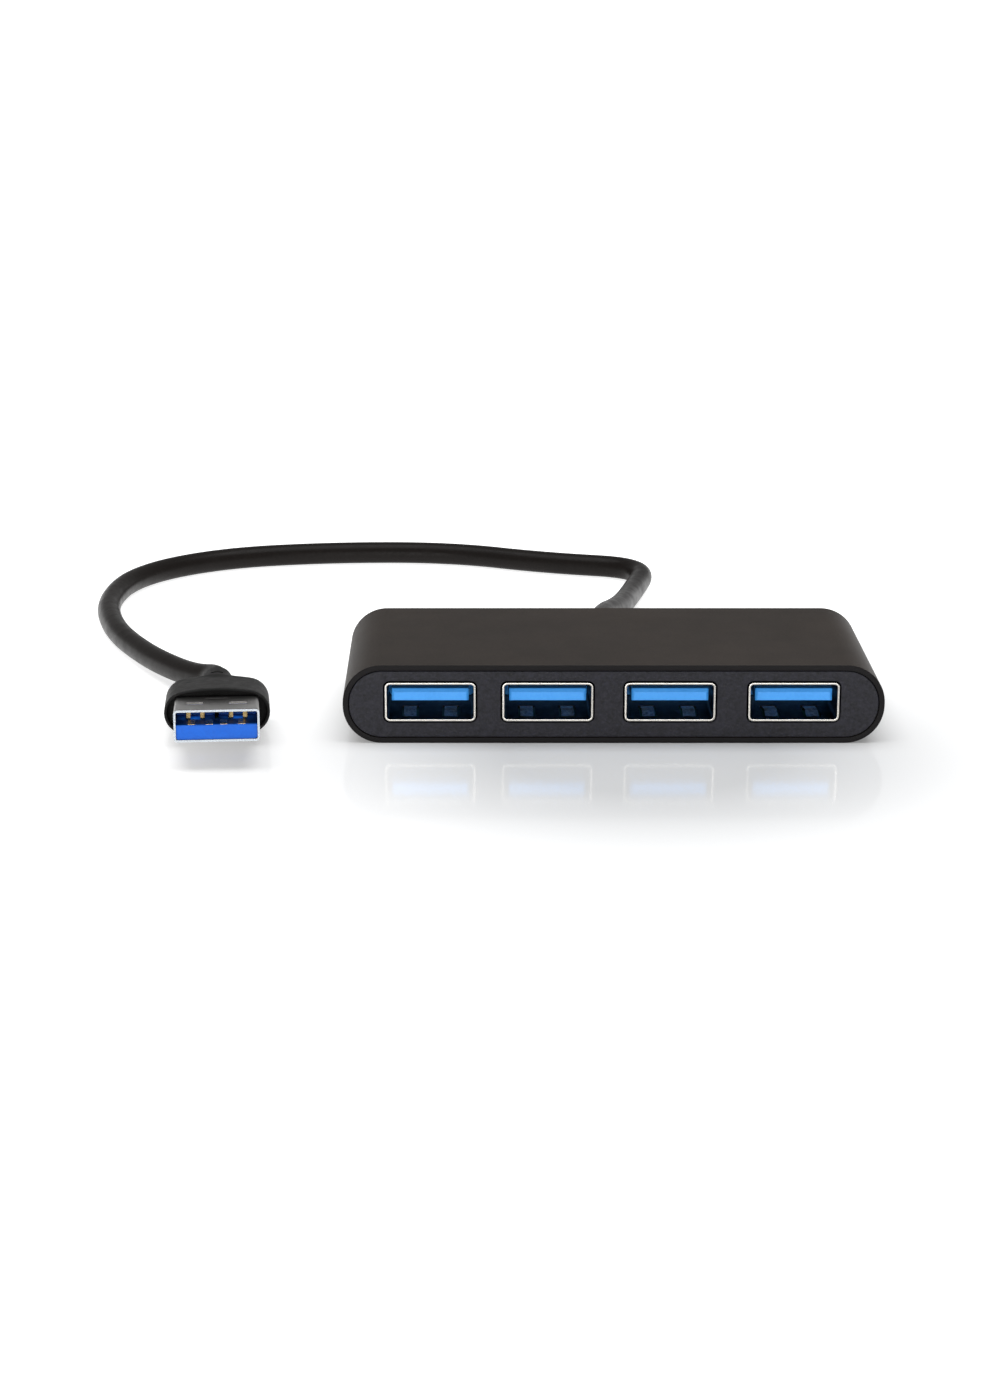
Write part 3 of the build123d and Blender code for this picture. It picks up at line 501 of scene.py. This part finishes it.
def stations(fixed, low, high, most):
    """Sorted places from low to high that include the fixed ones, no further apart than most."""
    stops = sorted({low, high, *[f for f in fixed if low < f < high]})
    places = []
    for a, b in zip(stops, stops[1:]):
        parts = max(1, math.ceil((b - a) / most))
        places += [a + (b - a) * i / parts for i in range(parts)]
    return places + [high]


def folded_shell(name, matrix, slot, face, node, size, columns, rows, cut, press, springs):
    """A tube of folded sheet with holes and pressed shapes.

    size is (width, height, sheet, corner). columns are the places across where a hole or a
    pressed shape has an edge, and rows the places along. cut says which cells are open, press
    how far a point is pressed in, and springs whether the pressed shapes are springs.
    """
    width, height, sheet, corner = size
    half_w, half_h = (width - sheet) / 2, (height - sheet) / 2
    radius = corner - sheet / 2
    across = stations(columns, -half_w + radius, half_w - radius, SHEET_STEP)
    outline = [("low", x, x, -half_h) for x in across]
    for turn, (sx, sz) in enumerate(CORNER_SIGNS):
        start = math.radians(-90 + 90 * turn)
        cx, cz = sx * (half_w - radius), sz * (half_h - radius)
        for i in range(1, FOLD_STEPS + 1):
            a = start + math.radians(90) * i / FOLD_STEPS
            outline.append(("bend", 0.0, cx + radius * math.cos(a), cz + radius * math.sin(a)))
        if turn == 1:
            outline[-1] = ("high", across[-1], across[-1], half_h)
            outline += [("high", x, x, half_h) for x in across[::-1][1:]]
        if turn == 3:
            outline.pop()
    work = bmesh.new()
    grid = []
    for depth in rows:
        line = []
        for side, x, px, pz in outline:
            inward = press(side, x, depth) if side != "bend" else 0.0
            line.append(work.verts.new((px, depth, pz - inward * (1 if pz > 0 else -1))))
        grid.append(line)
    count = len(outline)
    for near, far, y0, y1 in zip(grid, grid[1:], rows, rows[1:]):
        for i in range(count):
            j = (i + 1) % count
            sides = {outline[i][0], outline[j][0]}
            if len(sides) == 1 and "bend" not in sides:
                if cut(outline[i][0], (outline[i][1] + outline[j][1]) / 2, (y0 + y1) / 2):
                    continue
            work.faces.new((near[i], near[j], far[j], far[i]))
    loose = [v for v in work.verts if not v.link_faces]
    bmesh.ops.delete(work, geom=loose, context="VERTS")
    bmesh.ops.recalc_face_normals(work, faces=work.faces[:])
    work.transform(matrix)
    mesh = bpy.data.meshes.new(name)
    work.to_mesh(mesh)
    work.free()
    raw = bpy.data.objects.new(name + "_raw", mesh)
    scene.collection.objects.link(raw)
    solid = raw.modifiers.new("sheet", "SOLIDIFY")
    solid.thickness = sheet * MM
    solid.offset = 0.0
    soften(raw, SHEET_EDGE, SHEET_ANGLE)
    solid_raw = raw.evaluated_get(bpy.context.evaluated_depsgraph_get())
    made = bpy.data.meshes.new_from_object(solid_raw)
    bpy.data.objects.remove(raw)
    made.name = name
    piece = shown(name, made, slot, [node])
    made.materials[0] = FINISHES[face]
    for finish in (slot, "shell_inside", "spring_painted_glint"):
        made.materials.append(FINISHES[finish])
    # The cut edge at the mouth takes the slot's brighter metal, the sheet's inside a dark copy of
    # it as painted shade, and the springs' faces a bright, mottled copy as painted glints.
    inverse = matrix.inverted()
    for polygon in made.polygons:
        at = inverse @ polygon.center
        facing = inverse.to_3x3() @ polygon.normal
        inward = facing.x * at.x < 0 if abs(at.x) > half_w - sheet else facing.z * at.z < 0
        if at.y < CUT_EDGE and (springs or abs(facing.normalized().y) > FLAT_LIP):
            polygon.material_index = MOUTH
        elif inward and springs and at.z < 0 and press("low", at.x, at.y) > 0:
            polygon.material_index = SPRING
        elif inward:
            polygon.material_index = INSIDE
    return piece


SPRING_X, SPRING_HALF, SLOT = 2.95, 0.925, 0.3
SPRING_ROOT, SPRING_LENGTH, SPRING_RISE = 1.7, 5.6, 0.45
SPRING_PLACES = (0.0, 1.6, 1.9, 2.2, 2.7, 3.0, 5.3, 5.6)
SPRING_MARGIN = 0.01
# How high the spring stands, as a share of its rise, at a distance behind its root.
SPRING_SHAPE = [(0.0, 0.0), (1.9, 1.0), (2.7, 1.0), (5.3, 0.0), (6.0, 0.0)]


def along(shape, t):
    """The value at t on a line of (t, value) points."""
    for (t0, v0), (t1, v1) in zip(shape, shape[1:]):
        if t0 <= t <= t1:
            return v0 + (v1 - v0) * (t - t0) / (t1 - t0)
    return 0.0


def spring_cut(side, x, depth):
    """The slot round a spring: both its sides and its free end."""
    away = abs(abs(x) - SPRING_X)
    past = depth - SPRING_ROOT
    inside = 0 < past < SPRING_LENGTH and away < SPRING_HALF + SLOT
    return inside and (away > SPRING_HALF or past > SPRING_LENGTH - SLOT)


def spring_press(side, x, depth):
    """How far a spring's point stands into the mouth."""
    away = abs(abs(x) - SPRING_X)
    if away > SPRING_HALF + SPRING_MARGIN or depth < SPRING_ROOT:
        return 0.0
    return SPRING_RISE * along(SPRING_SHAPE, depth - SPRING_ROOT)


spring_columns = [
    side * (SPRING_X + sign * edge)
    for side in (-1, 1)
    for sign in (-1, 1)
    for edge in (SPRING_HALF, SPRING_HALF + SLOT)
]
spring_rows = stations([SPRING_ROOT + t for t in SPRING_PLACES], 0.0, PORT_LENGTH, LENGTH_STEP)

# The tongue with its bevelled front and the block behind it: depth, half width, low, high, corner.
TONGUE = [
    (0.40, 5.13, 0.265, 1.345, 0.04),
    (0.45, 5.20, 0.205, 1.405, 0.07),
    (0.66, 5.51, 0.085, 1.855, 0.10),
    (0.76, 5.55, 0.065, 1.905, 0.10),
    (12.60, 5.55, 0.065, 1.905, 0.10),
    (12.90, 5.65, -0.035, 2.005, 0.10),
    (13.00, 6.10, -2.40, 2.40, 0.35),
    (13.12, 6.22, -2.54, 2.54, 0.45),
    (17.05, 6.22, -2.54, 2.54, 0.45),
    (17.15, 6.12, -2.44, 2.44, 0.40),
]


def tongue_loop(depth, half, low, high, corner):
    """A section of the tongue, with its corners rounded."""
    shape = rounded_rectangle(2 * half, high - low, corner, steps=3)
    return [(x, depth, (low + high) / 2 + z) for x, z in shape]


for number, port_x in enumerate(PORT_X, start=1):
    place = hub_frame(port_x * MM, PORT_FRONT * MM, PORT_Z * MM)
    # The receptacle's sheet takes the painted shade finish all over, apart from its mouth and
    # springs.
    folded_shell(
        f"port_{number}_sheet_shell", place, "port_metal", "shell_inside", f"port_{number}_shell",
        (PORT_WIDTH, PORT_HEIGHT, PORT_SHEET, PORT_CORNER),
        spring_columns, spring_rows, spring_cut, spring_press, springs=True,
    )
    work = bmesh.new()
    skin(work, [tongue_loop(*row) for row in TONGUE])
    name = f"port_{number}_tongue_moulding"
    tongue = shown(name, mesh_from(work, name, place), "port_blue", [f"port_{number}_tongue"])
    # The tongue takes the paler copy of its blue moulding, as painted light.
    tongue.data.materials[0] = FINISHES["port_tongue_blue"]

# ---------------------------------------------------------------- strain relief

RIB_COUNT, RIB_FIRST, RIB_PITCH, GROOVE_WIDE, GROOVE_RADIUS = 4, 2.6, 1.5, 0.6, 2.25
RIB_EDGE, RIB_EDGE_MID = 0.1, 0.03
RELIEF_FROM, RELIEF_TO, RELIEF_WIDE, RELIEF_NARROW = 1.2, 9.0, 3.3, 2.5


def relief_radius(y):
    """The strain relief's taper."""
    slope = (RELIEF_WIDE - RELIEF_NARROW) / (RELIEF_TO - RELIEF_FROM)
    return RELIEF_WIDE - slope * (y - RELIEF_FROM)


# (y, radius) from the flange inside the rear plate to the free end.
relief = [(-3.1, 2.0), (-3.1, 3.8), (-2.9, 4.0), (-1.9, 4.0), (-1.7, 3.8), (-1.7, 2.6)]
relief += [(-0.1, 2.6), (-0.1, 3.15), (0.02, 3.28), (0.15, 3.3), (RELIEF_FROM, RELIEF_WIDE)]
for step in range(RIB_COUNT):
    near = RIB_FIRST + RIB_PITCH * step
    far = near + GROOVE_WIDE
    high, low = relief_radius(near), relief_radius(far)
    relief += [(near - RIB_EDGE, high), (near - RIB_EDGE_MID, high - RIB_EDGE_MID)]
    relief += [(near, high - RIB_EDGE), (near, GROOVE_RADIUS + RIB_EDGE)]
    relief += [(near + RIB_EDGE, GROOVE_RADIUS), (far - RIB_EDGE, GROOVE_RADIUS)]
    relief += [(far, GROOVE_RADIUS + RIB_EDGE), (far, low - RIB_EDGE)]
    relief += [(far + RIB_EDGE_MID, low - RIB_EDGE_MID), (far + RIB_EDGE, low)]
relief += [(8.5, 2.55), (8.72, 2.50), (8.9, 2.36), (8.98, 2.2), (RELIEF_TO, 2.0), (RELIEF_TO, 1.9)]
work = bmesh.new()
skin(work, [[(x, y, z) for x, z in circle(radius, count=48)] for y, radius in relief])
gland = shown(
    "strain_relief",
    mesh_from(work, "strain_relief", hub_frame(0, REAR * MM, CORD_Z * MM)),
    "gland_black",
    ["cord_gland"],
)

# ---------------------------------------------------------------- plug

plug_place = plug_frame()
PLUG_WIDTH, PLUG_HEIGHT, PLUG_LENGTH, PLUG_SHEET, PLUG_CORNER = 12.0, 4.5, 17.0, 0.3, 0.55
HOLE_X, HOLE_HALF, HOLE_FROM, HOLE_TO = 3.04, 1.25, 5.2, 7.3
MARK_FROM, MARK_TO, MARK_NARROW, MARK_WIDE, MARK_DEEP = 9.4, 11.2, 1.1, 1.8, 0.08
MARK_GRID = 0.1


def plug_cut(side, x, depth):
    """The two windows in the shell's top and bottom."""
    return abs(abs(x) - HOLE_X) < HOLE_HALF and HOLE_FROM < depth < HOLE_TO


def plug_press(side, x, depth):
    """The pressed mark: a trapezoid, wider at the back."""
    near = MARK_GRID / 2
    if side != "high" or not MARK_FROM + near < depth < MARK_TO - near:
        return 0.0
    share = (depth - MARK_FROM) / (MARK_TO - MARK_FROM)
    half = MARK_NARROW + (MARK_WIDE - MARK_NARROW) * share
    return MARK_DEEP if abs(x) < half - near else 0.0


hole_columns = [s * (HOLE_X + e * HOLE_HALF) for s in (-1, 1) for e in (-1, 1)]
mark_columns = [s * (MARK_GRID * step) for s in (-1, 1) for step in range(1, 20)]
mark_rows = [MARK_FROM + MARK_GRID * step for step in range(18)]
shell_rows = stations(
    [HOLE_FROM, HOLE_TO, *mark_rows, MARK_TO - MARK_GRID, MARK_TO], 0.0, PLUG_LENGTH, LENGTH_STEP
)
shell = folded_shell(
    "plug_sheet_shell", plug_place, "plug_metal", "plug_face", "plug_shell",
    (PLUG_WIDTH, PLUG_HEIGHT, PLUG_SHEET, PLUG_CORNER),
    hole_columns + mark_columns, shell_rows, plug_cut, plug_press, springs=False,
)

BOOT_HALF_WIDTH, BOOT_HALF_HEIGHT, BOOT_SIDE = 7.6, 3.5, 3.1


def boot_outline(inset, side_count=14, crown_count=12):
    """(x, z) round the plug's moulding: a crowned top and bottom, and round sides."""
    half_height, side_radius = BOOT_HALF_HEIGHT - inset, BOOT_SIDE - inset
    side_x = BOOT_HALF_WIDTH - BOOT_SIDE
    crown = (side_x**2 + half_height**2 - side_radius**2) / (2 * (half_height - side_radius))
    reach = side_radius / (crown - side_radius)
    join_x = side_x * (1 + reach)
    half_turn = math.asin(join_x / crown)
    points = []
    for facing in (1, -1):
        for i in range(side_count):
            a = half_turn - math.pi / 2 + (math.pi - 2 * half_turn) * i / side_count
            x, z = side_x + side_radius * math.cos(a), side_radius * math.sin(a)
            points.append((facing * x, facing * z))
        for i in range(crown_count):
            a = half_turn - 2 * half_turn * i / crown_count
            x, z = crown * math.sin(a), half_height - crown + crown * math.cos(a)
            points.append((facing * x, facing * z))
    return points


RAYS = 144
RAY_Z = 0.7
PARALLEL, TOUCHING = 1e-12, 1e-9


def rays(outline):
    """How far each ray from (0, RAY_Z) runs before it crosses the outline."""
    crossings = []
    for step in range(RAYS):
        c, s = math.cos(TAU * step / RAYS), math.sin(TAU * step / RAYS)
        best = 0.0
        for i, (px, pz) in enumerate(outline):
            qx, qz = outline[i - 1]
            ex, ez = qx - px, qz - pz
            bend = c * ez - s * ex
            if abs(bend) < PARALLEL:
                continue
            ox, oz = px, pz - RAY_Z
            along_ray = (ox * ez - oz * ex) / bend
            along_edge = (ox * s - oz * c) / bend
            if -TOUCHING <= along_edge <= 1 + TOUCHING and along_ray > best:
                best = along_ray
        crossings.append(best)
    return crossings


def joined(first, second, blend):
    """Two sets of rays joined as one body, with a hollow of about blend where they meet."""
    result = []
    for a, b in zip(first, second):
        near = max(blend - abs(a - b), 0.0) / blend
        result.append(max(a, b) + near * near * blend / 4)
    return result


def section(crossings, depth):
    """The loop of points that a set of rays ends on, at a depth behind the plug's mouth."""
    points = []
    for step, reach in enumerate(crossings):
        turn = TAU * step / RAYS
        points.append((reach * math.cos(turn), depth, RAY_Z + reach * math.sin(turn)))
    return points


def between(a, b, t):
    """The rays a share t of the way from one set to another."""
    return [p + (q - p) * t for p, q in zip(a, b)]


FRONT_AT, REAR_AT, LIP, POCKET = 12.0, 26.3, 0.4, 1.5
LIP_ROUND_IN, LIP_ROUND_OUT = 0.12, 0.22
REAR_ROUND, BLEND = 1.3, 1.3
SHELL_PASSAGE_TO = 16.6
# The pocket's floor: how far behind it the passage has its edge, and the floor's own loops as
# shares of the way out to the pocket's wall.
POCKET_EDGE, POCKET_SHARES = 0.06, (0.06, 0.5, 0.9)
SIDE_PLACES = (13.5, 15.5, 17.5, 19.5, 21.0, 22.0, 22.7, 23.4, 24.0, 24.5)
# How the rear face closes in on the neck: the share of its size left, and how far behind it.
REAR_CLOSING = (
    (0.9, 0.03), (0.78, 0.07), (0.66, 0.12), (0.55, 0.18), (0.45, 0.26), (0.3, 0.4),
)
SLOT_HALF, SLOT_FLOOR, SLOT_FROM, SLOT_TO = 0.85, 3.2, 27.1, 27.6
NECK_PLACES = (26.9, 27.06, SLOT_FROM, SLOT_TO, 27.64, 28.4, 29.2, 30.0, 30.7, 31.0)
NECK_END, NECK_ROUND = 31.3, 0.3
# The neck: depth behind the mouth, radius, and how far its middle is above the plug's.
NECK_AT = [(22.0, 1.2, 0.5), (23.4, 2.1, 0.65), (24.7, 2.6, 0.8), (26.3, 2.55, 1.05)]
NECK_AT += [(27.4, 2.50, 1.22), (28.4, 2.45, 1.35), (30.0, 2.34, 1.57), (31.3, 2.25, 1.75)]


def neck_rays(depth, less=0.0):
    """The neck's section at a depth, or none in front of where it starts."""
    if depth <= NECK_AT[0][0]:
        return [0.0] * RAYS
    for (d0, r0, z0), (d1, r1, z1) in zip(NECK_AT, NECK_AT[1:]):
        if depth <= d1 + TOUCHING:
            t = (depth - d0) / (d1 - d0)
            radius, rise = r0 + (r1 - r0) * t, z0 + (z1 - z0) * t
            return rays(circle(radius - less, count=90, centre=(0.0, rise)))
    return rays(circle(NECK_AT[-1][1] - less, count=90, centre=(0.0, NECK_AT[-1][2])))


hollow = rays(rounded_rectangle(PLUG_WIDTH, PLUG_HEIGHT, PLUG_CORNER))
pocket = rays(boot_outline(LIP))
pocket_floor = FRONT_AT + POCKET
loops = [section(hollow, SHELL_PASSAGE_TO), section(hollow, pocket_floor + POCKET_EDGE)]
loops += [section(between(hollow, pocket, t), pocket_floor) for t in POCKET_SHARES]
loops += [section(pocket, pocket_floor - LIP_ROUND_IN), section(pocket, FRONT_AT + LIP)]
lip_path = quarter(
    (LIP, FRONT_AT + LIP_ROUND_IN), (LIP - LIP_ROUND_IN, FRONT_AT), (LIP, FRONT_AT), steps=4
)
lip_path += quarter(
    (LIP_ROUND_OUT, FRONT_AT), (0, FRONT_AT + LIP_ROUND_OUT), (0, FRONT_AT), steps=5
)
loops += [section(rays(boot_outline(inset)), depth) for inset, depth in lip_path]
side_path = [(0.0, depth) for depth in SIDE_PLACES]
side_path += quarter((0, REAR_AT - REAR_ROUND), (REAR_ROUND, REAR_AT), (0, REAR_AT), steps=9)
for inset, depth in side_path:
    loops.append(section(joined(rays(boot_outline(inset)), neck_rays(depth), BLEND), depth))
rear = rays(boot_outline(REAR_ROUND))
for share, past in REAR_CLOSING:
    body = [share * reach for reach in rear]
    loops.append(section(joined(body, neck_rays(REAR_AT + past), BLEND), REAR_AT + past))
for depth in NECK_PLACES:
    loop = section(neck_rays(depth), depth)
    if SLOT_FROM <= depth <= SLOT_TO:
        loop = [(x, y, min(z, SLOT_FLOOR) if abs(x) < SLOT_HALF else z) for x, y, z in loop]
    loops.append(loop)
neck_end = quarter((0, NECK_PLACES[-1]), (NECK_ROUND, NECK_END), (0, NECK_END), steps=4)
loops += [section(neck_rays(depth, less), depth) for less, depth in neck_end[1:]]
work = bmesh.new()
skin(work, loops)
boot = shown(
    "plug_boot", mesh_from(work, "plug_boot", plug_place), "overmould_black", ["plug_overmould"],
    sharp=math.radians(50),
)

# ---------------------------------------------------------------- finishes of the CAD parts

NODE_EDGE, NODE_ANGLE = 0.05, math.radians(35)
FLAT_WITHIN = math.radians(2)

for node in frame["nodes"].values():
    if node.hide_render:
        continue
    slot_name = node.data.materials[0].name.split(".")[0]
    node.data.materials[0] = FINISHES[slot_name]
    merge = node.modifiers.new("flat_faces", "DECIMATE")
    merge.decimate_type = "DISSOLVE"
    merge.angle_limit = FLAT_WITHIN
    soften(node, NODE_EDGE, NODE_ANGLE)

# ---------------------------------------------------------------- floor and light

FLOOR_HALF = 6.0
# The floor has painted shade, a greyer tone, in front of the housing, and glows white further away
# as painted light. GLOW and SKY give (place, strength) pairs.
PAINTED_SHADE_PLACE, PAINTED_SHADE_SCALE = (-0.04, 0.25, 0.0), (10.5, 11.0, 1.0)
TONE_FAR, PAINTED_SHADE_TONE, PAINTED_SHADE_FROM = (0.97, 0.97, 0.97, 1), (0.78, 0.79, 0.80, 1), 0.65
GLOW_FAR, GLOW_NEAR = (0.0, 0.82), (0.80, 0.02)
SKY_LOW, SKY_HIGH = (0.03, 1.05), (0.14, 0.30)
WHITE = (1.0, 1.0, 1.0, 1.0)

floor_work = bmesh.new()
bmesh.ops.create_grid(floor_work, x_segments=24, y_segments=24, size=FLOOR_HALF)
floor_mesh = bpy.data.meshes.new("floor")
floor_work.to_mesh(floor_mesh)
floor_work.free()
floor = bpy.data.objects.new("floor", floor_mesh)
scene.collection.objects.link(floor)


def level_map(tree, source, low, high):
    """A node output that runs straight between two (input, output) pairs."""
    node = tree.nodes.new("ShaderNodeMapRange")
    node.inputs["From Min"].default_value, node.inputs["To Min"].default_value = low
    node.inputs["From Max"].default_value, node.inputs["To Max"].default_value = high
    tree.links.new(source, node.inputs["Value"])
    return node.outputs["Result"]


floor_finish = bpy.data.materials.new("pale_floor")
floor_finish.use_nodes = True
floor_tree = floor_finish.node_tree
floor_shader = floor_tree.nodes["Principled BSDF"]
floor_shader.inputs["Roughness"].default_value = 0.10
floor_shader.inputs["Specular IOR Level"].default_value = 0.42
floor_shader.inputs["Emission Color"].default_value = WHITE
floor_place = floor_tree.nodes.new("ShaderNodeTexCoord")
floor_shift = floor_tree.nodes.new("ShaderNodeMapping")
floor_shift.inputs["Location"].default_value = PAINTED_SHADE_PLACE
floor_shift.inputs["Scale"].default_value = PAINTED_SHADE_SCALE
painted_shade_gradient = floor_tree.nodes.new("ShaderNodeTexGradient")
painted_shade_gradient.gradient_type = "SPHERICAL"
floor_painted_shade = floor_tree.nodes.new("ShaderNodeValToRGB")
floor_painted_shade.color_ramp.elements[0].color = TONE_FAR
floor_painted_shade.color_ramp.elements[1].position = PAINTED_SHADE_FROM
floor_painted_shade.color_ramp.elements[1].color = PAINTED_SHADE_TONE
floor_tree.links.new(floor_place.outputs["Object"], floor_shift.inputs["Vector"])
floor_tree.links.new(floor_shift.outputs["Vector"], painted_shade_gradient.inputs["Vector"])
floor_tree.links.new(painted_shade_gradient.outputs["Fac"], floor_painted_shade.inputs["Fac"])
floor_tree.links.new(floor_painted_shade.outputs["Color"], floor_shader.inputs["Base Color"])
# Painted light: the floor's emission, strong far off and faint near the housing.
floor_glow = level_map(floor_tree, painted_shade_gradient.outputs["Fac"], GLOW_FAR, GLOW_NEAR)
floor_tree.links.new(floor_glow, floor_shader.inputs["Emission Strength"])
floor_mesh.materials.append(floor_finish)


def area_light(name, place, target, size, power):
    """A soft rectangular light that faces a point."""
    lamp = bpy.data.lights.new(name, "AREA")
    lamp.shape = "RECTANGLE"
    lamp.size, lamp.size_y = size
    lamp.energy = power
    holder = bpy.data.objects.new(name, lamp)
    scene.collection.objects.link(holder)
    holder.location = place
    holder.rotation_euler = (Vector(target) - Vector(place)).to_track_quat("-Z", "Y").to_euler()


# The sky is white at the horizon and greyer above.
world = bpy.data.worlds.new("studio")
scene.world = world
world.use_nodes = True
sky_tree = world.node_tree
sky = sky_tree.nodes["Background"]
sky.inputs["Color"].default_value = WHITE
sky_place = sky_tree.nodes.new("ShaderNodeTexCoord")
sky_height = sky_tree.nodes.new("ShaderNodeSeparateXYZ")
sky_tree.links.new(sky_place.outputs["Generated"], sky_height.inputs["Vector"])
sky_level = level_map(sky_tree, sky_height.outputs["Z"], SKY_LOW, SKY_HIGH)
sky_tree.links.new(sky_level, sky.inputs["Strength"])
area_light(
    "overhead", place=(0.0, 0.0, 1.1), target=(0.0, 0.0, 0.0), size=(1.3, 0.9), power=10.5
)
area_light(
    "front_fill", place=(-0.1, -1.3, 0.20), target=(0.0, 0.0, 0.02), size=(1.2, 0.25), power=5.0
)
scene.view_settings.view_transform = "Standard"
